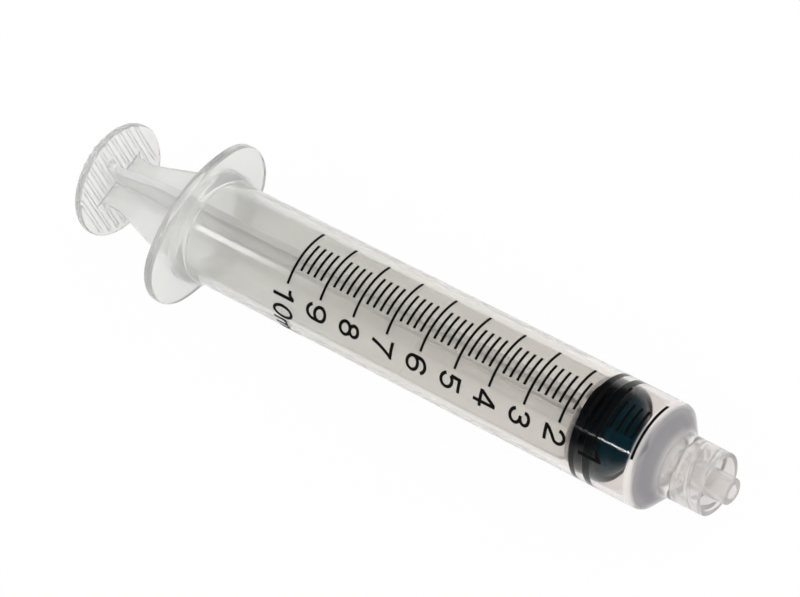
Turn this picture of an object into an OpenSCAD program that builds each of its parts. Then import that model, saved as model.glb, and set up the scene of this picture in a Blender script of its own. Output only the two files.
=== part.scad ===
// Ten millilitre syringe with a male luer lock tip, lying down with its scale on top.
// X runs along the axis toward the tip, Y along the wide finger flange, Z up through the scale.
// The origin is the centre of the tip's end face, so the syringe lies along -X.

/* [Barrel] */
// Inside diameter of the barrel
bore_d = 14.5; // [12:0.1:18]
// Wall thickness of the barrel
wall = 0.75; // [0.6:0.05:1.2]
// Length of the bore from the zero line to the rear opening
bore_len = 83.2; // [78:0.2:100]
// Length of the nose between the zero line and the lock collar
nose_len = 3; // [2.4:0.1:4]
// Radius of the rounded shoulder at the nose
shoulder_r = 0.8; // [0.4:0.1:1.2]
// Distance from the collar's floor to the end of the cone inside the nose
cone_stop = 0.2; // [0.1:0.05:0.4]
// Length of the lead-in at the rear opening
mouth_len = 0.8; // [0.4:0.1:1.5]
// Radial width of the lead-in at the rear opening
mouth_flare = 0.4; // [0.2:0.05:0.5]
// Height of the bead that keeps the stopper in
bead_h = 0.15; // [0.1:0.01:0.18]
// Length of the bead along the bore
bead_len = 0.6; // [0.4:0.05:1]
// Distance from the rear opening to the bead
bead_inset = 3.2; // [2:0.1:5]

/* [Luer lock tip] */
// Diameter of the tip at its end
tip_d = 3.93; // [3.9:0.01:4]
// Length of the tapered tip
taper_len = 7.5; // [7.5:0.1:8]
// Growth of the tip's diameter for each unit of length
taper_rate = 0.06; // [0.05:0.005:0.07]
// Diameter of the fluid channel
lumen_d = 2.1; // [1.8:0.05:2.4]
// How far the tip stands out of the collar
tip_proud = 2.35; // [2.1:0.05:2.8]
// Wall of the collar at its root, outside the threads
collar_root_wall = 0.75; // [0.6:0.01:1]
// Wall of the collar at its mouth, outside the threads
collar_mouth_wall = 0.68; // [0.6:0.01:1]
// Outside length of the collar
collar_len = 6.65; // [6.4:0.05:7.5]
// Inside diameter of the collar between the threads
thread_root_d = 8; // [7.9:0.05:8.2]
// Height of a thread above the collar's inside wall
thread_h = 0.5; // [0.45:0.01:0.55]
// Advance of each thread in one turn
thread_lead = 5; // [4.8:0.05:5.2]
// Number of thread starts
thread_starts = 2; // [1:1:2]
// Width of a thread at the collar wall
thread_base_w = 1; // [0.8:0.05:1.2]
// Width of a thread at its crest
thread_crest_w = 0.4; // [0.3:0.05:0.6]
// Distance from the floor and the mouth to the ends of the threads
thread_inset = 0.35; // [0.2:0.05:0.6]

/* [Finger flange] */
// How far the flange's ends stand out of the barrel
flange_reach = 5.6; // [4:0.1:8]
// How far the flange's long sides stand out of the raised ring
flange_lip = 0.25; // [0.2:0.05:1.5]
// Radius of the flange's long sides
flange_side_r = 20; // [18:0.5:28]
// Thickness of the flange
flange_t = 1.5; // [1.2:0.1:2.2]
// Height of the raised ring at the flange's root above the barrel
hub_rise = 0.9; // [0.5:0.1:1]
// Length of the raised ring
hub_len = 1.6; // [1:0.1:3]
// Length of the cone from the ring down to the barrel
hub_taper_len = 0.8; // [0.4:0.1:1.5]

/* [Stopper] */
// Dose at which the plunger stands, in millilitres
dose_ml = 1.02; // [0.9:0.02:6]
// Running clearance between the stopper's ribs and the bore
rib_clear = 0.03; // [0.02:0.01:0.08]
// Length of the front sealing rib
front_rib_len = 1.7; // [1.4:0.1:2]
// Length of the groove between the ribs
groove_len = 0.9; // [0.6:0.1:1.2]
// Depth of the groove between the ribs
groove_depth = 0.55; // [0.3:0.05:0.7]
// Length of the rear sealing rib
rear_rib_len = 1.4; // [1.2:0.1:1.8]
// Rounding of the sealing ribs
rib_round = 0.35; // [0.2:0.05:0.5]
// Step from the front sealing rib down to the stopper's front cone
nose_step = 1.12; // [0.9:0.02:1.5]
// Length of the stopper's front cone
stopper_nose_len = 4.2; // [3.6:0.1:4.5]
// Radius of the rounded end of the front cone
stopper_end_r = 1.1; // [0.9:0.05:1.2]

/* [Plunger rod] */
// Distance from the finger flange to the rear face of the thumb rest when the syringe is empty
thumb_gap = 11.1; // [9:0.1:16]
// Gap between the disc that pushes on the stopper and the bore
push_disc_gap = 0.55; // [0.4:0.05:1.2]
// Thickness of that disc
push_disc_t = 1; // [0.8:0.1:1.5]
// Gap between the cross-shaped stem and the bore
stem_gap = 0.45; // [0.35:0.05:0.8]
// Width of the stem where it meets the thumb rest
stem_end_w = 8.5; // [7:0.1:10]
// Length over which the stem narrows
stem_taper_len = 8.5; // [7:0.1:12]
// Length of the narrow part of the stem before the thumb rest
stem_neck_len = 3; // [2.6:0.1:4]
// Thickness of the stem's ribs
stem_rib_t = 1.2; // [0.9:0.05:1.6]
// Radius of the fillets between the stem and the thumb rest
stem_fillet = 1.5; // [1:0.1:2.2]
// How far the thumb rest stands out of the barrel
thumb_reach = 1; // [0.2:0.1:1.1]
// Thickness of the thumb rest without its grip ribs
thumb_t = 1.2; // [1:0.1:1.8]
// Height of the grip ribs on the thumb rest
grip_h = 0.3; // [0.2:0.05:0.5]
// Width of a grip rib
grip_w = 0.7; // [0.5:0.05:0.8]
// Distance between grip ribs
grip_pitch = 1.4; // [1.2:0.1:2]
// Number of grip ribs on each side of the middle one
grip_side_count = 5; // [3:1:5]
// Diameter of the neck that passes into the stopper
neck_d = 5; // [4:0.1:5.6]
// How far the head inside the stopper stands out of the neck
head_lip = 1.6; // [1.2:0.1:1.7]
// Length of the neck
neck_len = 1.5; // [1.2:0.1:1.6]
// Length of the head
head_len = 2.3; // [2:0.1:2.4]
// Clearance between the head and the stopper
head_clear = 0.05; // [0.04:0.01:0.08]

/* [Printed scale] */
// Volume between two neighbouring lines
minor_ml = 0.2; // [0.2:0.2:1]
// Highest graduation of the scale
scale_ml = 10; // [6:1:10]
// Length of the scale for each millilitre
ml_len = 6.056; // [5.8:0.001:6.2]
// Width of a line
line_w = 0.42; // [0.3:0.01:0.5]
// Thickness of the ink
ink_t = 0.03; // [0.02:0.005:0.04]
// Half the angle that a long line covers
major_half_angle = 34.5; // [30:0.5:38]
// Half the angle that a short line covers
minor_half_angle = 16.5; // [12:0.5:20]
// Angle from the top to the middle of a numeral
digit_angle = 49; // [48:0.5:54]
// Angle from the top to the first numeral of the last number
tens_angle = 45; // [44:0.5:47]
// Angle from the top to the second numeral of the last number
ones_angle = 68; // [66:0.5:70]
// Angle from the top to the unit letters
unit_angle = 94; // [93:0.5:98]
// Height of a numeral along the barrel
digit_h = 3.8; // [3:0.05:4.4]
// Width of a numeral's stroke
digit_stroke = 0.52; // [0.3:0.02:0.64]
// Distance from a line back to the middle of its numeral
digit_drop = 0.17; // [0:0.01:0.5]
// Height of the unit letters along the barrel
unit_h = 3.2; // [2:0.05:3.3]
// Width of the unit letters' strokes
unit_stroke = 0.42; // [0.2:0.02:0.5]

/* [Hidden] */
$fn = 64;
// Overrun of the cuts
cut = 0.5;
// Depth to which a rib or thread is rooted in the piece that carries it
root_depth = 0.2;

bore_r = bore_d / 2;
barrel_r = bore_r + wall;
hub_r = barrel_r + hub_rise;
lumen_r = lumen_d / 2;
tip_r = tip_d / 2;
taper_growth = taper_rate / 2;
thread_root_r = thread_root_d / 2;
thread_crest_r = thread_root_r - thread_h;
collar_root_r = thread_root_r + collar_root_wall;
collar_mouth_r = thread_root_r + collar_mouth_wall;

// Places along the axis, from the tip to the rear
x_mouth = -tip_proud;
x_floor = -taper_len;
x_collar = x_mouth - collar_len;
x_zero = x_collar - nose_len;
x_rear = x_zero - bore_len;
x_flange = x_rear + flange_t;
x_bead = x_rear + bead_inset;

// Stopper and rod, placed by the dose
x_front_rib = x_zero - dose_ml * ml_len;
x_groove = x_front_rib - front_rib_len;
x_rear_rib = x_groove - groove_len;
x_stopper_rear = x_rear_rib - rear_rib_len;
x_stopper_end = x_front_rib + stopper_nose_len;
rib_r = bore_r - rib_clear;
rod_len = bore_len + thumb_gap - front_rib_len - groove_len - rear_rib_len;
x_push_disc = x_stopper_rear - head_clear;
x_thumb_rear = x_stopper_rear - rod_len;
x_thumb_front = x_thumb_rear + thumb_t;
x_neck_end = x_thumb_front + stem_neck_len;
thumb_r = barrel_r + thumb_reach;
x_taper_end = x_neck_end + stem_taper_len;

// Turns a shape made along Z so that it lies along X
module along_x() rotate([0, 90, 0]) children();

// Solid of revolution between two places on the axis
module round_bar(r_a, x_a, r_b, x_b)
  along_x() translate([0, 0, min(x_a, x_b)])
    cylinder(h = abs(x_b - x_a), r1 = x_a < x_b ? r_a : r_b, r2 = x_a < x_b ? r_b : r_a);

// Solid turned about the axis, from an outline of [radius, place along the axis]
module turned(outline) along_x() rotate_extrude() polygon(outline);

// Rounded corner of an outline, where 0 degrees points outward and 90 degrees toward the tip
function round_corner(r, x, size, from, to) = [
  for (i = [0 : 6]) let (a = from + (to - from) * i / 6) [r + size * cos(a), x + size * sin(a)]
];

// Angle on a circle at which a straight line from a point outside touches it, on one side or the other
function touch_angle(point, centre, size, side) =
  let (d = centre - point) atan2(d[1], d[0]) + side * (asin(size / norm(d)) + 90);

// Outline of the barrel's wall: the outside from the tip to the rear, then the inside back to the tip
shoulder_axis_r = barrel_r - shoulder_r;
shoulder_touch = touch_angle([collar_root_r, x_collar], [shoulder_axis_r, x_zero], shoulder_r, 1);
barrel_outline = concat(
  [[lumen_r, 0], [tip_r, 0], [tip_r + taper_len * taper_growth, x_floor]],
  [[thread_root_r, x_floor], [thread_root_r, x_mouth], [collar_mouth_r, x_mouth], [collar_root_r, x_collar]],
  round_corner(shoulder_axis_r, x_zero, shoulder_r, shoulder_touch, 0),
  [[barrel_r, x_flange + hub_len + hub_taper_len], [hub_r, x_flange + hub_len], [hub_r, x_rear]],
  [[bore_r + mouth_flare, x_rear], [bore_r, x_rear + mouth_len], [bore_r, x_bead - bead_len / 2]],
  [[bore_r - bead_h, x_bead], [bore_r, x_bead + bead_len / 2]],
  [[bore_r, x_zero], [lumen_r, x_floor - cone_stop]]
);

// Oval of four arcs: two long sides and two round ends that meet them smoothly
module finger_flange() {
  a = barrel_r + flange_reach;
  b = hub_r + flange_lip;
  side_drop = flange_side_r - b;
  end_r = (pow(flange_side_r, 2) - a * a - side_drop * side_drop) / (2 * (flange_side_r - a));
  end_y = a - end_r;
  joint_y = end_y + end_r * end_y / (flange_side_r - end_r);
  along_x() translate([0, 0, x_rear]) linear_extrude(flange_t) {
    for (side = [-1, 1]) translate([0, side * end_y]) circle(end_r);
    intersection() {
      translate([side_drop, 0]) circle(flange_side_r, $fn = 128);
      translate([-side_drop, 0]) circle(flange_side_r, $fn = 128);
      square([2 * b, 2 * joint_y], center = true);
    }
  }
}

// One thread start, as a rib that winds forward along the inside of the collar
module thread(start_angle) {
  travel = x_mouth - x_floor - 2 * thread_inset - thread_base_w;
  steps = 24;
  flank = (thread_base_w - thread_crest_w) / (2 * thread_h);
  rooted_w = thread_base_w + 2 * root_depth * flank;
  section = [
    [thread_root_r + root_depth, -rooted_w / 2],
    [thread_root_r + root_depth, rooted_w / 2],
    [thread_crest_r, thread_crest_w / 2],
    [thread_crest_r, -thread_crest_w / 2]
  ];
  n = len(section);
  x_start = x_floor + thread_inset + thread_base_w / 2;
  points = [
    for (i = [0 : steps], p = section)
      let (advance = travel * i / steps, turn = start_angle + 360 * advance / thread_lead)
        [x_start + advance + p[1], p[0] * cos(turn), p[0] * sin(turn)]
  ];
  side_faces = [
    for (i = [0 : steps - 1], j = [0 : n - 1])
      let (k = (j + 1) % n, low = i * n, high = low + n)
        each [[low + j, low + k, high + k], [low + j, high + k, high + j]]
  ];
  end_faces = [
    for (j = [1 : n - 2])
      each [[0, j + 1, j], [steps * n, steps * n + j, steps * n + j + 1]]
  ];
  polyhedron(points, concat(side_faces, end_faces));
}

module barrel() color([0.88, 0.88, 0.86, 0.4]) {
  turned(barrel_outline);
  difference() {
    finger_flange();
    round_bar(barrel_r, x_rear - cut, barrel_r, x_flange + cut);
  }
  for (start = [0 : thread_starts - 1]) thread(360 * start / thread_starts);
}

// Outline of a sealing rib with rounded edges between two places
function rib_outline(x_from, x_to) = concat(
  round_corner(rib_r - rib_round, x_from + rib_round, rib_round, -90, 0),
  round_corner(rib_r - rib_round, x_to - rib_round, rib_round, 0, 90)
);

// Outline of the stopper: two sealing ribs, a blunt cone, and the pocket that holds the rod's head
core_r = rib_r - groove_depth;
nose_r = rib_r - nose_step;
x_ball = x_stopper_end - stopper_end_r;
ball_touch = touch_angle([nose_r, x_front_rib], [0, x_ball], stopper_end_r, -1);
head_r = neck_d / 2 + head_lip;
neck_hole_r = neck_d / 2 + head_clear;
head_hole_r = head_r + head_clear;
x_pocket = x_stopper_rear + neck_len - head_clear;
x_pocket_end = x_stopper_rear + neck_len + head_len + head_clear;
stopper_outline = concat(
  rib_outline(x_stopper_rear, x_rear_rib), [[core_r, x_rear_rib], [core_r, x_groove]],
  rib_outline(x_groove, x_front_rib), [[nose_r, x_front_rib]],
  round_corner(0, x_ball, stopper_end_r, ball_touch, 90),
  [[0, x_pocket_end], [head_hole_r, x_pocket_end], [head_hole_r, x_pocket], [neck_hole_r, x_pocket]],
  [[neck_hole_r, x_stopper_rear]]
);

module stopper() color([0.05, 0.06, 0.08]) turned(stopper_outline);

module plunger_rod() color([0.9, 0.9, 0.88, 0.7]) {
  round_bar(thumb_r, x_thumb_rear, thumb_r, x_thumb_front);
  grip_ribs();
  for (turn = [0, 90]) rotate([turn, 0, 0]) stem_rib();
  round_bar(bore_r - push_disc_gap, x_push_disc - push_disc_t, bore_r - push_disc_gap, x_push_disc);
  round_bar(neck_d / 2, x_push_disc - root_depth, neck_d / 2, x_stopper_rear + neck_len + root_depth);
  round_bar(head_r, x_stopper_rear + neck_len, head_r, x_stopper_rear + neck_len + head_len);
}

// Half of a stem rib's outline, from its root in the disc to the fillet at the thumb rest
x_stem = x_push_disc - push_disc_t;
stem_r = bore_r - stem_gap;
stem_root_r = stem_r - push_disc_t / 2;
stem_half = concat(
  [[x_stem + root_depth, stem_root_r], [x_stem, stem_root_r]],
  [[x_stem, stem_r], [x_taper_end, stem_r], [x_neck_end, stem_end_w / 2]],
  [
    for (a = [0 : 15 : 90])
      [x_thumb_front + stem_fillet * (1 - sin(a)), stem_end_w / 2 + stem_fillet * (1 - cos(a))]
  ],
  [[x_thumb_front - root_depth, stem_end_w / 2 + stem_fillet]]
);

// One flat rib of the cross-shaped stem, with its fillets at the thumb rest
module stem_rib() {
  other_half = [for (i = [len(stem_half) - 1 : -1 : 0]) [stem_half[i][0], -stem_half[i][1]]];
  translate([0, stem_rib_t / 2, 0]) rotate([90, 0, 0]) linear_extrude(stem_rib_t)
    polygon(concat(stem_half, other_half));
}

// Parallel grip ribs across the rear face of the thumb rest
module grip_ribs() intersection() {
  round_bar(thumb_r, x_thumb_rear - grip_h, thumb_r, x_thumb_rear + root_depth);
  for (i = [-grip_side_count : grip_side_count])
    translate([x_thumb_rear - grip_h, i * grip_pitch - grip_w / 2, -thumb_r])
      cube([grip_h + root_depth, grip_w, 2 * thumb_r]);
}

// Ink arc that covers an angle on either side of the top of the barrel
module ink_arc(x, half_angle)
  along_x() rotate([0, 0, 180 - half_angle]) translate([0, 0, x - line_w / 2])
    rotate_extrude(angle = 2 * half_angle) translate([barrel_r, 0]) square([ink_t, line_w]);

module major_lines() color("black")
  for (ml = [0 : scale_ml]) ink_arc(x_zero - ml * ml_len, major_half_angle);

module minor_lines() color("black")
  for (ml = [0 : scale_ml - 1], k = [1 : round(1 / minor_ml) - 1])
    ink_arc(x_zero - (ml + k * minor_ml) * ml_len, minor_half_angle);

// Points of an oval's arc in shares of a glyph's height
function arc_shares(cx, cy, rx, ry, from, to) = [
  for (i = [0 : 12]) let (a = from + (to - from) * i / 12) [cx + rx * cos(a), cy + ry * sin(a)]
];

// A glyph is a list of open strokes and a list of closed loops, in shares of its height.
// A stroke is its middle line. A loop is an oval as [centre, centre height, half width, half height].
digit_middle_share = 0.35;
unit_middle_share = 0.65;
two_arc_shares = arc_shares(0.355, 0.665, 0.255, 0.255, 182, -38);
three_upper_shares = concat(arc_shares(0.34, 0.73, 0.245, 0.19, 192, -90), [[0.27, 0.54]]);
three_lower_shares = concat([[0.27, 0.54]], arc_shares(0.345, 0.31, 0.28, 0.23, 90, -172));
six_shares = [
  [concat(arc_shares(0.36, 0.6, 0.3, 0.32, 25, 180), [[0.06, 0.325]])],
  [[0.342, 0.325, 0.284, 0.245]]
];
nine_shares = [
  [for (line = six_shares[0]) [for (p = line) [2 * digit_middle_share - p[0], 1 - p[1]]]],
  [for (p = six_shares[1]) [2 * digit_middle_share - p[0], 1 - p[1], p[2], p[3]]]
];
digit_shares = [
  [[], [[0.35, 0.5, 0.27, 0.42]]],
  [[[[0.17, 0.75], [0.32, 0.765], [0.42, 0.84], [0.46, 0.95]], [[0.5, 1], [0.5, 0]]], []],
  [[concat(two_arc_shares, [[0.35, 0.375], [0.16, 0.21], [0.09, 0.08]]), [[0.02, 0.08], [0.68, 0.08]]], []],
  [[three_upper_shares, three_lower_shares], []],
  [[[[0.46, 0.97], [0.05, 0.33]], [[0, 0.31], [0.71, 0.31]], [[0.49, 1], [0.49, 0]]], []],
  [[[[0.65, 0.9], [0.13, 0.9], [0.1, 0.5]], arc_shares(0.335, 0.335, 0.28, 0.255, 145, -165)], []],
  six_shares,
  [[[[0, 0.91], [0.7, 0.91]], [[0.62, 0.93], [0.44, 0.62], [0.3, 0.3], [0.21, 0]]], []],
  [[], [[0.345, 0.727, 0.225, 0.19], [0.35, 0.31, 0.265, 0.232]]],
  nine_shares
];
unit_shares = [
  [
    [[0.08, 0.72], [0.08, 0]],
    concat(arc_shares(0.28, 0.45, 0.2, 0.2, 170, 0), [[0.48, 0]]),
    concat(arc_shares(0.68, 0.45, 0.2, 0.2, 170, 0), [[0.88, 0]]),
    [[1.22, 1], [1.22, 0]]
  ],
  []
];

function unit(v) = v / norm(v);

// Sideways step from a stroke's middle line to its edge, for half a stroke of one, with mitred corners
function edge_step(points, i) =
  let (
    last = len(points) - 1,
    before = unit(points[max(i, 1)] - points[max(i, 1) - 1]),
    after = unit(points[min(i, last - 1) + 1] - points[min(i, last - 1)]),
    middle = unit(before + after)
  )
  [-middle[1], middle[0]] / (middle * before);

module stroke(shares, size, w) {
  points = size * shares;
  last = len(points) - 1;
  polygon(concat(
    [for (i = [0 : last]) points[i] + edge_step(points, i) * w / 2],
    [for (i = [last : -1 : 0]) points[i] - edge_step(points, i) * w / 2]
  ));
}

// Outline of a loop, moved out by half a stroke or in by minus half a stroke
module loop_outline(loop, size, shift)
  polygon([
    for (a = [7.5 : 15 : 352.5])
      size * [loop[0], loop[1]] + [(size * loop[2] + shift) * cos(a), (size * loop[3] + shift) * sin(a)]
  ]);

module glyph(shares, size, w) {
  for (line = shares[0]) stroke(line, size, w);
  for (loop = shares[1])
    difference() {
      loop_outline(loop, size, w / 2);
      loop_outline(loop, size, -w / 2);
    }
}

// Lays a flat glyph on the barrel at an angle from the top, with its foot toward the rear
module on_barrel(shares, middle_share, angle, x_foot, size, w)
  intersection() {
    rotate([angle, 0, 0]) rotate([0, 0, -90])
      translate([-size * middle_share, x_foot, barrel_r / 2])
        linear_extrude(barrel_r) glyph(shares, size, w);
    difference() {
      round_bar(barrel_r + ink_t, x_foot - size, barrel_r + ink_t, x_foot + 2 * size);
      round_bar(barrel_r, x_foot - 2 * size, barrel_r, x_foot + 3 * size);
    }
  }

module numeral(digit, angle, x_foot)
  on_barrel(digit_shares[digit], digit_middle_share, angle, x_foot, digit_h, digit_stroke);

module numerals() color("black")
  for (ml = [1 : scale_ml]) {
    x_foot = x_zero - ml * ml_len - digit_drop - digit_h / 2;
    if (ml < 10) numeral(ml, digit_angle, x_foot);
    if (ml == 10) {
      numeral(1, tens_angle, x_foot);
      numeral(0, ones_angle, x_foot);
      on_barrel(unit_shares, unit_middle_share, unit_angle, x_foot, unit_h, unit_stroke);
    }
  }

barrel();
stopper();
plunger_rod();
major_lines();
minor_lines();
numerals();
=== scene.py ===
from math import asin, atan2, cos, degrees, hypot, pi, radians, sin, sqrt, tan

import bpy
from mathutils import Matrix, Quaternion, Vector


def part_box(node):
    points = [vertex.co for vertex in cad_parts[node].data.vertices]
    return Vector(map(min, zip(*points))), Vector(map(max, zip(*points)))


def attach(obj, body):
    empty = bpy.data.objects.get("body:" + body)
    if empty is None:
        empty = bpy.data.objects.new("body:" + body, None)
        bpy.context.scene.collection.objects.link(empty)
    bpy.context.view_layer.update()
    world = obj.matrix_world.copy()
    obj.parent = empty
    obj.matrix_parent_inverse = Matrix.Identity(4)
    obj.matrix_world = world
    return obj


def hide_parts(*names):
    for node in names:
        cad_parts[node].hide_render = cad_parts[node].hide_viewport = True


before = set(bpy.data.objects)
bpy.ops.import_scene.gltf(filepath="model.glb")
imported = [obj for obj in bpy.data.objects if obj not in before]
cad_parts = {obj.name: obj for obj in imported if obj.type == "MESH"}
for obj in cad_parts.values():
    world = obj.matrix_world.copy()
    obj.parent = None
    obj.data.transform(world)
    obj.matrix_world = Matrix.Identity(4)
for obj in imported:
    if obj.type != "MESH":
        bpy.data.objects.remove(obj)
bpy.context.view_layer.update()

# All sizes below are in millimetres, in the frame's axes: X toward the tip, Z up through the scale.
MM = 0.001
ROUND_STEPS = 256

# Barrel, with its hub and finger flange. The bore ends at the scale's zero.
BORE_R = 7.25
BARREL_R = 8.0
ZERO_X = -12.0
SHOULDER_R = 0.8
REAR_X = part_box("barrel")[0][0] / MM
FLANGE_T = 1.5
FLANGE_X = REAR_X + FLANGE_T
FLANGE_HALF_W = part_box("barrel")[1][1] / MM
FLANGE_HALF_H = 9.15
FLANGE_SIDE_R = 20.0
FLANGE_ROUND = 0.35
HUB_R = 8.9
HUB_LEN = 1.6
HUB_TAPER_LEN = 0.8
MOUTH_FLARE = 0.4
MOUTH_LEN = 0.8
BEAD_X = REAR_X + 3.2
BEAD_H = 0.15
BEAD_LEN = 0.6

# Tip and lock collar
TIP_R = 1.965
TAPER_LEN = 7.5
TAPER_SLOPE = 0.03
LUMEN_R = 1.05
CONE_END_X = -7.7
COLLAR_X = -9.0
COLLAR_R = 4.75
MOUTH_X = -2.35
COLLAR_MOUTH_R = 4.68
THREAD_ROOT_R = 4.0
THREAD_CREST_R = 3.5
THREAD_LEAD = 5.0
THREAD_STARTS = 2
THREAD_BASE_W = 1.0
THREAD_CREST_W = 0.4
THREAD_MARGIN = 0.35
THREAD_FADE_LEN = 0.5

# Stopper. Its ribs press a little into the wall of the bore, as rubber does.
RIB_R = 7.265
STOPPER_REAR_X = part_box("stopper")[0][0] / MM
STOPPER_END_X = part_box("stopper")[1][0] / MM
REAR_RIB_LEN = 1.4
GROOVE_LEN = 0.9
FRONT_RIB_LEN = 1.7
GROOVE_DEPTH = 0.55
NOSE_R = 6.1
STOPPER_END_R = 1.1

# Plunger rod
THUMB_R = 9.0
THUMB_REAR_X = STOPPER_REAR_X - 90.3
THUMB_T = 1.2
THUMB_RIM_R = 0.45
GRIP_H = 0.3
GRIP_W = 0.7
GRIP_PITCH = 1.4
GRIP_SIDE_COUNT = 5
STEM_HALF_W = 6.8
STEM_END_HALF_W = 4.25
STEM_RIB_HALF_T = 0.6
STEM_EDGE_R = 0.15
STEM_CORNER_R = 0.3
STEM_NECK_LEN = 3.0
STEM_TAPER_LEN = 8.5
STEM_FILLET = 1.5
ROOT_FLARE = 0.25
DISC_R = 6.7
DISC_T = 1.0
HEAD_CLEAR = 0.05
NECK_R = 2.5
NECK_LEN = 1.5
HEAD_R = 4.1
HEAD_LEN = 2.3

# The clear plastic's looks as (place along the axis, value). Haze is the share of the light that it scatters. The
# cone at the barrel's end is thick and milky. Its dark colour is painted shade, and the light band on the
# shoulder's rounded edge just before it is a painted highlight.
BARREL_TINTS_AND_PAINTED_LIGHT = (
    (-95.2, (0.92, 0.92, 0.9)), (-92, (0.94, 0.94, 0.92)), (-85, (0.99, 0.985, 0.955)),
    (-60, (0.98, 0.965, 0.925)), (-25, (0.98, 0.955, 0.92)), (-20, (0.87, 0.83, 0.8)),
    # Painted highlight on the shoulder's rounded edge from -12.2 to -11.6, painted shade on the cone from -11.2 to
    # -9.4
    (-12.6, (0.87, 0.83, 0.81)), (-12.2, (0.96, 0.93, 0.9)), (-11.6, (0.96, 0.93, 0.9)),
    (-11.2, (0.33, 0.32, 0.34)), (-9.4, (0.38, 0.37, 0.38)), (-8.9, (0.985, 0.96, 0.94)),
    (0, (0.95, 0.925, 0.905)))
BARREL_HAZE = (
    (-95.2, 0.28), (-92, 0.22), (-85, 0.14), (-75, 0.14), (-60, 0.12), (-40, 0.1), (-28, 0.08),
    (-23, 0), (-12.6, 0), (-12.2, 0.45), (-9.3, 0.45), (-8.8, 0.22), (0, 0.25))
BARREL_ROUGHNESS = ((-95.2, 0.15), (-90, 0.1), (-30, 0.08), (-24, 0.06), (-12.5, 0.06), (-11, 0.08))
ROD_TINTS = ((-112.8, (0.965, 0.965, 0.95)), (-22, (0.98, 0.97, 0.955)))
ROD_HAZE = (
    (-112.8, 0.28), (-111.3, 0.28), (-111.1, 0.42), (-98, 0.38), (-90, 0.28), (-60, 0.28), (-40, 0.22),
    (-22, 0.2))
ROD_ROUGHNESS = ((-112.8, 0.1), (-111.3, 0.1), (-110, 0.2), (-22, 0.15))


def skin(name, rings, joined=False):
    """Closed mesh through rings of points that all have the same count. A joined skin's last ring meets its first;
    otherwise each end ring is closed by a flat face."""
    count = len(rings[0])
    points = [Vector(point) * MM for ring in rings for point in ring]
    faces = []
    for i in range(len(rings) if joined else len(rings) - 1):
        low, high = i * count, (i + 1) % len(rings) * count
        for j in range(count):
            k = (j + 1) % count
            faces.append((low + j, high + j, high + k, low + k))
    if not joined:
        faces.append(tuple(range(count)))
        faces.append(tuple(reversed(range((len(rings) - 1) * count, len(rings) * count))))
    mesh = bpy.data.meshes.new(name)
    mesh.from_pydata(points, [], faces)
    piece = bpy.data.objects.new(name, mesh)
    bpy.context.collection.objects.link(piece)
    return piece


def blend(ring, other, share):
    """Ring that lies a share of the way from one ring to another."""
    return [tuple(a + (b - a) * share for a, b in zip(p, q)) for p, q in zip(ring, other)]


def brace(rings, joined=False):
    """Rings with two more in each long gap, near its ends, so that smooth shading stays true on straight runs."""
    reach = 0.35
    braced = []
    for i, ring in enumerate(rings):
        braced.append(ring)
        if i + 1 == len(rings) and not joined:
            break
        after = rings[(i + 1) % len(rings)]
        gap = max(hypot(*(b - a for a, b in zip(p, q))) for p, q in zip(ring, after))
        if gap > 4 * reach:
            braced += [blend(ring, after, share) for share in (reach / gap, 1 - reach / gap)]
    return braced


def smooth(piece, edge_angle=35):
    """Smooth shading, with edges sharper than the angle kept sharp."""
    piece.data.shade_smooth()
    piece.data.set_sharp_from_angle(angle=radians(edge_angle))


def corner(x, r, size, start, end, steps=5):
    """Rounded corner of an outline as (x, radius). 0 degrees points outward and 90 degrees toward the tip."""
    angles = [radians(start + (end - start) * i / steps) for i in range(steps + 1)]
    return [(x + size * sin(a), r + size * cos(a)) for a in angles]


def round_ring(x, r):
    turns = [2 * pi * i / ROUND_STEPS for i in range(ROUND_STEPS)]
    return [(x, r * cos(turn), r * sin(turn)) for turn in turns]


def flange_ring(x, inset):
    """Ring along the flange's oval of four arcs, moved in from the rim."""
    side_drop = FLANGE_SIDE_R - FLANGE_HALF_H
    end_r = (FLANGE_SIDE_R ** 2 - FLANGE_HALF_W ** 2 - side_drop ** 2) / (2 * (FLANGE_SIDE_R - FLANGE_HALF_W))
    end_y = FLANGE_HALF_W - end_r
    side_r, cap_r = FLANGE_SIDE_R - inset, end_r - inset
    share = side_r / (FLANGE_SIDE_R - end_r)
    joint = atan2((share - 1) * side_drop, share * end_y)
    ring = []
    for _, y, z in round_ring(x, 1):
        if atan2(abs(z), abs(y)) < joint:
            r = end_y * abs(y) + sqrt(cap_r ** 2 - (end_y * z) ** 2)
        else:
            r = -side_drop * abs(z) + sqrt(side_r ** 2 - (side_drop * y) ** 2)
        ring.append((x, r * y, r * z))
    return ring


def thread_ring(x):
    """Ring of the collar's inside, drawn in where a thread passes. The threads fade in and out at their ends."""
    start_x, end_x = -TAPER_LEN + THREAD_MARGIN, MOUTH_X - THREAD_MARGIN
    strength = max(0.0, min(1.0, (x - start_x) / THREAD_FADE_LEN, (end_x - x) / THREAD_FADE_LEN))
    pitch = THREAD_LEAD / THREAD_STARTS
    ring = []
    for i in range(ROUND_STEPS):
        turn = i / ROUND_STEPS
        offset = (x - start_x - THREAD_BASE_W / 2 - turn * THREAD_LEAD) % pitch
        offset = min(offset, pitch - offset)
        rise = (THREAD_BASE_W / 2 - offset) / (THREAD_BASE_W / 2 - THREAD_CREST_W / 2)
        r = THREAD_ROOT_R - (THREAD_ROOT_R - THREAD_CREST_R) * strength * max(0.0, min(1.0, rise))
        ring.append((x, r * cos(2 * pi * turn), r * sin(2 * pi * turn)))
    return ring


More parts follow.
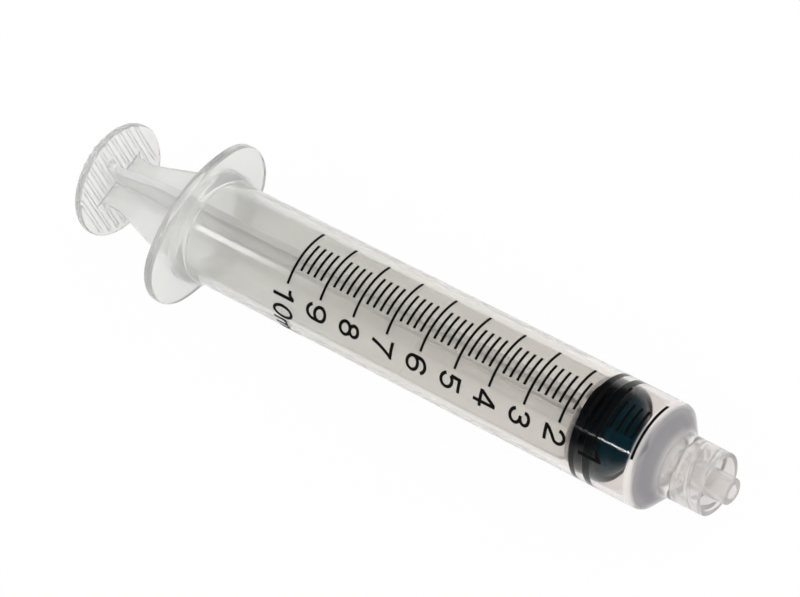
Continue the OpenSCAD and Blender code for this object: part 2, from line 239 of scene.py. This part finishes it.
def make_barrel():
    """Barrel, tip, lock collar and finger flange as one clear moulding. Its rings run from the tip's mouth over the
    outside to the flange, and back through the bore."""
    # Tip and the floor of the collar
    tip_base_r = TIP_R + TAPER_LEN * TAPER_SLOPE
    lumen_edge, tip_edge = 0.12, 0.3
    tip = [(-lumen_edge, LUMEN_R), (0, LUMEN_R + lumen_edge)]
    tip += corner(-tip_edge, TIP_R - tip_edge, tip_edge, 90, 0)
    tip += [(-TAPER_LEN + 0.3, tip_base_r - 0.01), (-TAPER_LEN + 0.1, tip_base_r + 0.08)]
    tip += [(-TAPER_LEN, tip_base_r + 0.25), (-TAPER_LEN, THREAD_ROOT_R - 0.2)]
    tip += [(-TAPER_LEN + 0.06, THREAD_ROOT_R - 0.06), (-TAPER_LEN + 0.2, THREAD_ROOT_R)]
    rings = [round_ring(x, r) for x, r in tip]

    # Threaded inside of the collar
    thread_steps, thread_inset = 60, 0.3
    thread_from, thread_to = -TAPER_LEN + thread_inset, MOUTH_X - thread_inset
    rings += [thread_ring(thread_from + (thread_to - thread_from) * i / thread_steps)
              for i in range(thread_steps + 1)]

    # Lip and outside of the collar
    lip, lip_depth = (COLLAR_MOUTH_R - THREAD_ROOT_R) / 2, 0.8
    lip_x, lip_r = MOUTH_X - lip * lip_depth, THREAD_ROOT_R + lip
    outer = [(lip_x + (x - lip_x) * lip_depth, r) for x, r in corner(lip_x, lip_r, lip, 180, 0, 12)]
    outer += [(COLLAR_X + 0.25, COLLAR_R), (COLLAR_X + 0.08, COLLAR_R + 0.05), (COLLAR_X - 0.1, COLLAR_R + 0.2)]

    # Cone that runs tangent into the rounded shoulder, then the body and the hub in front of the flange
    nose = (ZERO_X - COLLAR_X, BARREL_R - SHOULDER_R - COLLAR_R)
    touch = atan2(nose[0], nose[1]) + asin(SHOULDER_R / hypot(*nose)) + pi / 2
    outer += corner(ZERO_X, BARREL_R - SHOULDER_R, SHOULDER_R, degrees(touch), 0, 8)
    hub_x = FLANGE_X + HUB_LEN
    taper_x = hub_x + HUB_TAPER_LEN
    outer += [(taper_x + 0.5, BARREL_R), (taper_x + 0.1, BARREL_R + 0.07), (taper_x - 0.2, BARREL_R + 0.25)]
    outer += [(hub_x + 0.15, HUB_R - 0.15), (hub_x - 0.05, HUB_R - 0.03), (hub_x - 0.3, HUB_R)]
    outer += [(FLANGE_X + 0.35, HUB_R), (FLANGE_X + 0.1, HUB_R + 0.02)]
    rings += [round_ring(x, r) for x, r in outer]

    # Flange
    rings.append(blend(round_ring(FLANGE_X, HUB_R + 0.03), flange_ring(FLANGE_X, 0.6), 0.03))
    for x, start, end in ((FLANGE_X - FLANGE_ROUND, 90, 0), (REAR_X + FLANGE_ROUND, 0, -90)):
        rings += [flange_ring(rim_x, FLANGE_ROUND - reach)
                  for rim_x, reach in corner(x, 0, FLANGE_ROUND, start, end)]

    # Flared mouth, bead, bore, inner cone and lumen
    mouth_edge = 0.2
    inner = corner(REAR_X + mouth_edge, BORE_R + MOUTH_FLARE + mouth_edge, mouth_edge, 270, 180)
    inner += [(REAR_X + MOUTH_LEN, BORE_R), (BEAD_X - BEAD_LEN / 2, BORE_R)]
    inner += [(BEAD_X - BEAD_LEN / 4, BORE_R - BEAD_H * 0.7), (BEAD_X, BORE_R - BEAD_H)]
    inner += [(BEAD_X + BEAD_LEN / 4, BORE_R - BEAD_H * 0.7), (BEAD_X + BEAD_LEN / 2, BORE_R)]
    slope = (BORE_R - LUMEN_R) / (CONE_END_X - ZERO_X)
    inner += [(ZERO_X - 0.5, BORE_R), (ZERO_X - 0.15, BORE_R - 0.06), (ZERO_X + 0.15, BORE_R - 0.15 * slope)]
    inner += [(CONE_END_X - 0.2, LUMEN_R + 0.2 * slope), (CONE_END_X, LUMEN_R + 0.08)]
    inner += [(CONE_END_X + 0.3, LUMEN_R)]
    rings += [round_ring(x, r) for x, r in inner]
    return skin("clear_barrel", brace(rings, joined=True), joined=True)


def make_stopper():
    """Rubber stopper with two sealing ribs, a blunt cone and the pocket for the rod's head."""
    rear_end = STOPPER_REAR_X + REAR_RIB_LEN
    groove_end = rear_end + GROOVE_LEN
    front = groove_end + FRONT_RIB_LEN
    edge, root = 0.35, 0.15
    core_r = RIB_R - GROOVE_DEPTH
    outline = [(STOPPER_REAR_X, NECK_R + HEAD_CLEAR)]
    outline += corner(STOPPER_REAR_X + edge, RIB_R - edge, edge, -90, 0)
    outline += corner(rear_end - edge, RIB_R - edge, edge, 0, 80)
    outline += [(rear_end + 0.03, core_r + root), (rear_end + root, core_r)]
    outline += [(groove_end - root, core_r), (groove_end - 0.03, core_r + root)]
    outline += corner(groove_end + edge, RIB_R - edge, edge, -80, 0)
    outline += corner(front - edge, RIB_R - edge, edge, 0, 90)
    outline += [(front, NOSE_R + 0.25), (front + 0.05, NOSE_R + 0.07), (front + 0.2, NOSE_R - 0.17)]

    # Round end that the cone runs tangent into
    ball_x = STOPPER_END_X - STOPPER_END_R
    span = (ball_x - front, -NOSE_R)
    touch = atan2(span[0], span[1]) - asin(STOPPER_END_R / hypot(*span)) - pi / 2
    outline += corner(ball_x, 0, STOPPER_END_R, degrees(touch), 90, 8)[:-1]
    outline.append((STOPPER_END_X, 0.02))

    pocket_x = STOPPER_REAR_X + NECK_LEN - HEAD_CLEAR
    pocket_end, pocket_r = STOPPER_REAR_X + NECK_LEN + HEAD_LEN + HEAD_CLEAR, HEAD_R + HEAD_CLEAR
    outline.reverse()
    outline += [(pocket_x, NECK_R + HEAD_CLEAR), (pocket_x, pocket_r), (pocket_end, pocket_r)]
    return skin("rubber_stopper", brace([round_ring(x, r) for x, r in outline]))


def cross_ring(x, half_w, half_t=STEM_RIB_HALF_T, fillet=STEM_CORNER_R):
    """Ring along the cross-shaped section, with rounded rib edges and small fillets in its corners."""
    edge_steps, side_steps, fillet_steps = 4, 8, 3
    eighth = [(half_w, 0)]
    for step in range(edge_steps + 1):
        a = pi / 2 * step / edge_steps
        eighth.append((half_w - STEM_EDGE_R + STEM_EDGE_R * cos(a), half_t - STEM_EDGE_R + STEM_EDGE_R * sin(a)))
    start = atan2(half_t, half_w - STEM_EDGE_R)
    end = atan2(half_t, half_t + fillet)
    for step in range(1, side_steps):
        a = start + (end - start) * step / side_steps
        eighth.append((half_t / tan(a), half_t))
    centre = half_t + fillet
    for step in range(fillet_steps + 1):
        a = radians(270 - 45 * step / fillet_steps)
        eighth.append((centre + fillet * cos(a), centre + fillet * sin(a)))
    quarter = eighth + [(v, u) for u, v in reversed(eighth[1:-1])]
    return [(x, u * c - v * s, u * s + v * c) for c, s in ((1, 0), (0, 1), (-1, 0), (0, -1)) for u, v in quarter]


def disc_ring(x, r):
    """Round ring whose points lie at the same angles as those of the cross-shaped section."""
    return [(x, r * y / hypot(y, z), r * z / hypot(y, z)) for _, y, z in cross_ring(x, STEM_END_HALF_W)]


def make_rod():
    """Plunger rod: head, neck, push disc, cross-shaped stem and thumb rest."""
    disc_x = STOPPER_REAR_X - HEAD_CLEAR
    stem_x = disc_x - DISC_T
    head_x = STOPPER_REAR_X + NECK_LEN
    disc_edge = 0.15
    rings = [disc_ring(x, r) for x, r in (
        (head_x + HEAD_LEN, 0.5), (head_x + HEAD_LEN, HEAD_R), (head_x, HEAD_R), (head_x, NECK_R),
        (disc_x, NECK_R), (disc_x, DISC_R - disc_edge), (disc_x - disc_edge, DISC_R),
        (stem_x + disc_edge, DISC_R), (stem_x, DISC_R - disc_edge))]

    # Stem, which narrows in one step toward the thumb rest
    thumb_x = THUMB_REAR_X + THUMB_T
    neck_end = thumb_x + STEM_NECK_LEN
    taper_end = neck_end + STEM_TAPER_LEN
    rings += [cross_ring(x, half_w) for x, half_w in (
        (stem_x, DISC_R - 0.3), (stem_x - 0.3, DISC_R - 0.25), (stem_x - 1.2, STEM_HALF_W),
        (taper_end + 1, STEM_HALF_W), (taper_end + 0.3, STEM_HALF_W - 0.03), (taper_end - 0.5, STEM_HALF_W - 0.16),
        (neck_end + 0.5, STEM_END_HALF_W + 0.16), (neck_end - 0.3, STEM_END_HALF_W + 0.03))]

    # Foot that flares into the thumb rest
    foot_steps = 8
    for step in range(foot_steps + 1):
        a = radians(90 * step / foot_steps)
        flare = 1 - cos(a)
        rings.append(cross_ring(thumb_x + STEM_FILLET * (1 - sin(a)), STEM_END_HALF_W + STEM_FILLET * flare,
                                STEM_RIB_HALF_T + ROOT_FLARE * flare, STEM_CORNER_R + ROOT_FLARE * flare))
    root, face = rings[-1], disc_ring(thumb_x, THUMB_R - THUMB_RIM_R)
    rings += [blend(root, face, share) for share in (0.06, 0.9)]
    for x, start, end in ((thumb_x - THUMB_RIM_R, 90, 0), (THUMB_REAR_X + THUMB_RIM_R, 0, -90)):
        rings += [disc_ring(rim_x, r) for rim_x, r in corner(x, THUMB_R - THUMB_RIM_R, THUMB_RIM_R, start, end)]
    return skin("clear_rod", brace(rings))


def make_grip_ribs():
    """Rounded parallel ribs that stand on the rear face of the thumb rest, each a closed bar."""
    reach_r = THUMB_R - 0.5
    foot, edge, edge_h = 0.12, 0.04, 0.1
    arc_steps = 6
    section = [(THUMB_REAR_X + foot, -GRIP_W / 2), (THUMB_REAR_X - edge, -GRIP_W / 2)]
    for step in range(arc_steps + 1):
        a = pi * step / arc_steps
        section.append((THUMB_REAR_X - edge_h - (GRIP_H - edge_h) * sin(a), -cos(a) * (GRIP_W / 2 - edge)))
    section += [(THUMB_REAR_X - edge, GRIP_W / 2), (THUMB_REAR_X + foot, GRIP_W / 2)]
    bars = []
    for i in range(-GRIP_SIDE_COUNT, GRIP_SIDE_COUNT + 1):
        middle = i * GRIP_PITCH
        half_len = sqrt(reach_r ** 2 - (abs(middle) + GRIP_W / 2) ** 2)
        rings = [[(x, middle + y, z) for x, y in section] for z in (-half_len, half_len)]
        bars.append(skin("grip_rib", rings))
    return bars


def join_into(piece, others):
    """Unites other closed meshes with a piece and removes them."""
    bpy.context.view_layer.update()
    for other in others:
        union = piece.modifiers.new("union", "BOOLEAN")
        union.operation = "UNION"
        union.solver = "EXACT"
        union.object = other
    mesh = bpy.data.meshes.new_from_object(piece.evaluated_get(bpy.context.evaluated_depsgraph_get()))
    piece.modifiers.clear()
    piece.data = mesh
    for other in others:
        bpy.data.objects.remove(other)


def new_material(name):
    material = bpy.data.materials.new(name)
    material.use_nodes = True
    nodes, links = material.node_tree.nodes, material.node_tree.links
    return material, nodes, links, nodes["Principled BSDF"]


def feed(links, socket, value):
    """Gives a socket a number or another node's result."""
    if isinstance(value, (int, float)):
        socket.default_value = value
    else:
        links.new(value, socket)


def calculate(nodes, links, operation, *values):
    """Math node on numbers or on other nodes' results."""
    node = nodes.new("ShaderNodeMath")
    node.operation = operation
    for i, value in enumerate(values):
        feed(links, node.inputs[i], value)
    return node.outputs["Value"]


def ramp(nodes, links, value, low, high):
    """Maps a value of 0 to 1 on to a range of numbers."""
    node = nodes.new("ShaderNodeMapRange")
    node.inputs["To Min"].default_value = low
    node.inputs["To Max"].default_value = high
    links.new(value, node.inputs["Value"])
    return node.outputs["Result"]


def fade(nodes, links, value, start, end, low, high):
    """Goes smoothly from low to high while a value goes from start to end."""
    node = nodes.new("ShaderNodeMapRange")
    node.interpolation_type = "SMOOTHSTEP"
    for name, number in (("From Min", start), ("From Max", end), ("To Min", low), ("To Max", high)):
        feed(links, node.inputs[name], number)
    links.new(value, node.inputs["Value"])
    return node.outputs["Result"]


def add_noise(nodes, links, scale, detail=3.0, stretch=(1, 1, 1)):
    """Noise in the object's own space, in features per metre."""
    place = nodes.new("ShaderNodeTexCoord")
    mapping = nodes.new("ShaderNodeMapping")
    mapping.inputs["Scale"].default_value = stretch
    noise = nodes.new("ShaderNodeTexNoise")
    noise.inputs["Scale"].default_value = scale
    noise.inputs["Detail"].default_value = detail
    links.new(place.outputs["Object"], mapping.inputs["Vector"])
    links.new(mapping.outputs["Vector"], noise.inputs["Vector"])
    return noise.outputs["Fac"]


def mix_colours(nodes, links, value, low, high):
    node = nodes.new("ShaderNodeMix")
    node.data_type = "RGBA"
    node.inputs["A"].default_value = (*low, 1)
    node.inputs["B"].default_value = (*high, 1)
    links.new(value, node.inputs["Factor"])
    return node.outputs["Result"]


def darken(nodes, links, colour, value, share):
    """Multiplies a colour by a share, as far as a value of 0 to 1 says."""
    node = nodes.new("ShaderNodeMix")
    node.data_type = "RGBA"
    node.blend_type = "MULTIPLY"
    node.inputs["B"].default_value = (share, share, share, 1)
    links.new(value, node.inputs["Factor"])
    links.new(colour, node.inputs["A"])
    return node.outputs["Result"]


def bump(nodes, links, value, shader, distance, strength):
    node = nodes.new("ShaderNodeBump")
    node.inputs["Distance"].default_value = distance
    node.inputs["Strength"].default_value = strength
    links.new(value, node.inputs["Height"])
    links.new(node.outputs["Normal"], shader.inputs["Normal"])


def coordinates(nodes, links, space):
    """X, Y and Z of a point in one of the texture spaces."""
    place = nodes.new("ShaderNodeTexCoord")
    split = nodes.new("ShaderNodeSeparateXYZ")
    links.new(place.outputs[space], split.inputs["Vector"])
    return split.outputs["X"], split.outputs["Y"], split.outputs["Z"]


def along_axis(nodes, links, x, places):
    """Colours or numbers at given places along the axis, with even changes between them."""
    low, high = places[0][0], places[-1][0]
    spread = nodes.new("ShaderNodeMapRange")
    spread.inputs["From Min"].default_value = low * MM
    spread.inputs["From Max"].default_value = high * MM
    links.new(x, spread.inputs["Value"])
    node = nodes.new("ShaderNodeValToRGB")
    stops = node.color_ramp.elements
    for i, (place, value) in enumerate(places):
        share = (place - low) / (high - low)
        stop = stops[0] if i == 0 else stops[len(stops) - 1] if share == 1 else stops.new(share)
        stop.color = (*value, 1) if isinstance(value, tuple) else (value, value, value, 1)
    links.new(spread.outputs["Result"], node.inputs["Fac"])
    return node.outputs["Color"]


def clear_plastic(name, tints_and_painted_light, haze_places, roughness_places, bore_roughness=0.0):
    """Translucent moulded polypropylene. Its colour, haze and roughness change from place to place along the axis,
    as its thickness and finish do. The barrel's colours also hold a painted highlight and painted shade at its
    shoulder. The bore behind the stopper can be rougher than the rest."""
    mirror_share = 0.27
    material, nodes, links, shader = new_material(name)
    x, y, z = coordinates(nodes, links, "Object")
    y2, z2 = calculate(nodes, links, "MULTIPLY", y, y), calculate(nodes, links, "MULTIPLY", z, z)
    r = calculate(nodes, links, "SQRT", calculate(nodes, links, "ADD", y2, z2))

    streaks = add_noise(nodes, links, scale=90, detail=4, stretch=(1, 5, 5))
    # For the barrel this colour holds a painted highlight and painted shade at the shoulder
    tint_and_painted_light = along_axis(nodes, links, x, tints_and_painted_light)
    links.new(darken(nodes, links, tint_and_painted_light, ramp(nodes, links, streaks, 0, 1), 0.97), shader.inputs["Base Color"])

    behind = fade(nodes, links, x, (STOPPER_REAR_X - 0.5) * MM, (STOPPER_REAR_X + 0.5) * MM, 1, 0)
    in_from = fade(nodes, links, r, (BORE_R - 0.8) * MM, (BORE_R - 0.6) * MM, 0, 1)
    out_to = fade(nodes, links, r, (BORE_R + 0.1) * MM, (BORE_R + 0.3) * MM, 1, 0)
    bore = calculate(nodes, links, "MULTIPLY", behind, calculate(nodes, links, "MULTIPLY", in_from, out_to))
    polished = along_axis(nodes, links, x, roughness_places)
    rough = calculate(nodes, links, "MULTIPLY_ADD", bore, bore_roughness, polished)
    uneven = ramp(nodes, links, add_noise(nodes, links, scale=600), 0.7, 1.3)
    links.new(calculate(nodes, links, "MULTIPLY", rough, uneven), shader.inputs["Roughness"])
    bump(nodes, links, add_noise(nodes, links, scale=250, detail=2), shader, distance=0.000003, strength=0.6)

    clear = along_axis(nodes, links, x, [(place, 1 - haze) for place, haze in haze_places])
    links.new(clear, shader.inputs["Transmission Weight"])
    shader.inputs["Specular Tint"].default_value = (mirror_share, mirror_share, mirror_share, 1)
    shader.inputs["IOR"].default_value = 1.49
    return material


def black_rubber():
    """Moulded butyl rubber with a thin film of silicone oil. The blue-green on the cone is a painted reflection in
    its colour.
    """
    material, nodes, links, shader = new_material("black_rubber")
    mottle = add_noise(nodes, links, scale=500)
    x, _, _ = coordinates(nodes, links, "Object")
    cone_x = STOPPER_END_X - 4
    # The cone's blue-green is a painted reflection; the ribs keep the rubber's own near-black
    colour_and_painted_reflection = along_axis(nodes, links, x, (
        (STOPPER_REAR_X, (0.0008, 0.002, 0.005)), (cone_x - 0.4, (0.001, 0.004, 0.008)),
        (cone_x + 0.2, (0.003, 0.045, 0.07)), (STOPPER_END_X, (0.003, 0.05, 0.08))))
    links.new(darken(nodes, links, colour_and_painted_reflection, mottle, 0.6), shader.inputs["Base Color"])
    links.new(ramp(nodes, links, mottle, 0.22, 0.38), shader.inputs["Roughness"])
    bump(nodes, links, add_noise(nodes, links, scale=2500), shader, distance=0.00002, strength=0.4)
    shader.inputs["Specular IOR Level"].default_value = 0.08
    return material


def black_ink():
    """Printed ink with slightly uneven cover."""
    material, nodes, links, shader = new_material("black_ink")
    cover = add_noise(nodes, links, scale=3000)
    links.new(mix_colours(nodes, links, cover, (0.0005, 0.0005, 0.0004), (0.004, 0.0035, 0.003)),
              shader.inputs["Base Color"])
    links.new(ramp(nodes, links, cover, 0.4, 0.6), shader.inputs["Roughness"])
    shader.inputs["Specular IOR Level"].default_value = 0.05
    return material


def dress(piece, material):
    piece.data.materials.clear()
    piece.data.materials.append(material)


def make_floor():
    """Level floor just under the flange's rim. It looks white and keeps a soft shadow."""
    half, gap, white_share = 1.5, 0.02, 0.97
    mesh = bpy.data.meshes.new("floor")
    mesh.from_pydata([(-half, -half, 0), (half, -half, 0), (half, half, 0), (-half, half, 0)], [], [(0, 1, 2, 3)])
    floor = bpy.data.objects.new("floor", mesh)
    bpy.context.collection.objects.link(floor)
    floor.location = (0, 0, (-FLANGE_HALF_H - gap) * MM)
    material, nodes, links, shader = new_material("floor")
    shader.inputs["Base Color"].default_value = (0.9, 0.9, 0.9, 1)
    shader.inputs["Roughness"].default_value = 0.9
    shader.inputs["Specular IOR Level"].default_value = 0.0
    path = nodes.new("ShaderNodeLightPath")
    shown = path.outputs["Is Camera Ray"]
    for ray in ("Is Glossy Ray", "Is Transmission Ray"):
        shown = calculate(nodes, links, "MAXIMUM", shown, path.outputs[ray])
    white = nodes.new("ShaderNodeEmission")
    mix = nodes.new("ShaderNodeMixShader")
    links.new(calculate(nodes, links, "MULTIPLY", shown, white_share), mix.inputs["Fac"])
    links.new(shader.outputs["BSDF"], mix.inputs[1])
    links.new(white.outputs["Emission"], mix.inputs[2])
    links.new(mix.outputs["Shader"], nodes["Material Output"].inputs["Surface"])
    floor.data.materials.append(material)


def make_light(name, target, direction, distance, size, power):
    """Soft rectangular lamp, in metres and watts, that faces a target in millimetres. Its width lies along the
    syringe."""
    lamp = bpy.data.lights.new(name, "AREA")
    lamp.shape = "RECTANGLE"
    lamp.size, lamp.size_y = size
    lamp.energy = power
    light = bpy.data.objects.new(name, lamp)
    way = Vector(direction).normalized()
    across = way.cross(Vector((1, 0, 0))).normalized()
    light.location = Vector(target) * MM + way * distance
    light.rotation_euler = Matrix((across.cross(way), across, way)).transposed().to_euler()
    bpy.context.collection.objects.link(light)


def make_world(horizon, front, behind, overhead):
    """Room that is light near the horizon and above both ends of the syringe, with a dark band overhead between.
    The camera itself sees plain white."""
    world = bpy.data.worlds.new("studio")
    world.use_nodes = True
    nodes, links = world.node_tree.nodes, world.node_tree.links
    along, _, up = coordinates(nodes, links, "Generated")
    ahead = fade(nodes, links, along, -0.35, -0.1, overhead, front)
    rear = fade(nodes, links, along, -0.85, -0.65, behind, 0)
    above = calculate(nodes, links, "ADD", ahead, rear)
    path = nodes.new("ShaderNodeLightPath")
    shown = nodes.new("ShaderNodeMix")
    shown.inputs["B"].default_value = 1
    links.new(path.outputs["Is Camera Ray"], shown.inputs["Factor"])
    links.new(fade(nodes, links, up, 0.05, 0.35, horizon, above), shown.inputs["A"])
    links.new(shown.outputs["Result"], nodes["Background"].inputs["Strength"])
    nodes["Background"].inputs["Color"].default_value = (1, 1, 1, 1)
    bpy.context.scene.world = world


def make_camera():
    """Camera at the photograph's viewing angle, in metres, for an image of 800 by 597."""
    aim = Vector((-0.060055, 0.00328, 0))
    azimuth, elevation, roll = radians(-29.189), radians(55.413), radians(-29.049)
    distance = 0.531715
    focal_px, image_w_px = 3730.7, 800
    away = Vector((cos(elevation) * cos(azimuth), cos(elevation) * sin(azimuth), sin(elevation)))
    data = bpy.data.cameras.new("camera")
    data.sensor_width = 36
    data.lens = focal_px * data.sensor_width / image_w_px
    data.clip_start, data.clip_end = 0.01, 20
    camera = bpy.data.objects.new("camera", data)
    camera.location = aim + away * distance
    camera.rotation_mode = "QUATERNION"
    camera.rotation_quaternion = away.to_track_quat("Z", "Y") @ Quaternion((0, 0, 1), roll)
    bpy.context.collection.objects.link(camera)
    bpy.context.scene.camera = camera


make_camera()
make_floor()
make_world(horizon=0.9, front=1.5, behind=1.0, overhead=0.06)
# One lamp makes the streak on the stopper and the other the broad streak along the rear of the barrel.
make_light("key", target=(-12.8, -4, 6.93), direction=(-0.433, -0.603, 0.668), distance=1.2,
           size=(0.012, 0.07), power=0.25)
make_light("rear", target=(-86, -3.4, 7.2), direction=(-0.539, -0.433, 0.723), distance=1.2,
           size=(0.035, 0.2), power=1.0)

barrel_plastic = clear_plastic("barrel_plastic", BARREL_TINTS_AND_PAINTED_LIGHT, BARREL_HAZE, BARREL_ROUGHNESS, bore_roughness=0.04)
rod_plastic = clear_plastic("rod_plastic", ROD_TINTS, ROD_HAZE, ROD_ROUGHNESS)
rubber = black_rubber()
ink = black_ink()

barrel = make_barrel()
smooth(barrel)
dress(barrel, barrel_plastic)
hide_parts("barrel")
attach(barrel, "barrel")

stopper = make_stopper()
smooth(stopper)
dress(stopper, rubber)
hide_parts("stopper")
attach(stopper, "stopper")

rod = make_rod()
join_into(rod, make_grip_ribs())
smooth(rod)
dress(rod, rod_plastic)
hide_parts("plunger_rod")
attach(rod, "rod")

for node_name in ("major_lines", "minor_lines", "numerals"):
    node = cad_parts[node_name]
    node.data.materials.clear()
    node.data.materials.append(ink)

bpy.context.scene.view_settings.view_transform = "Standard"
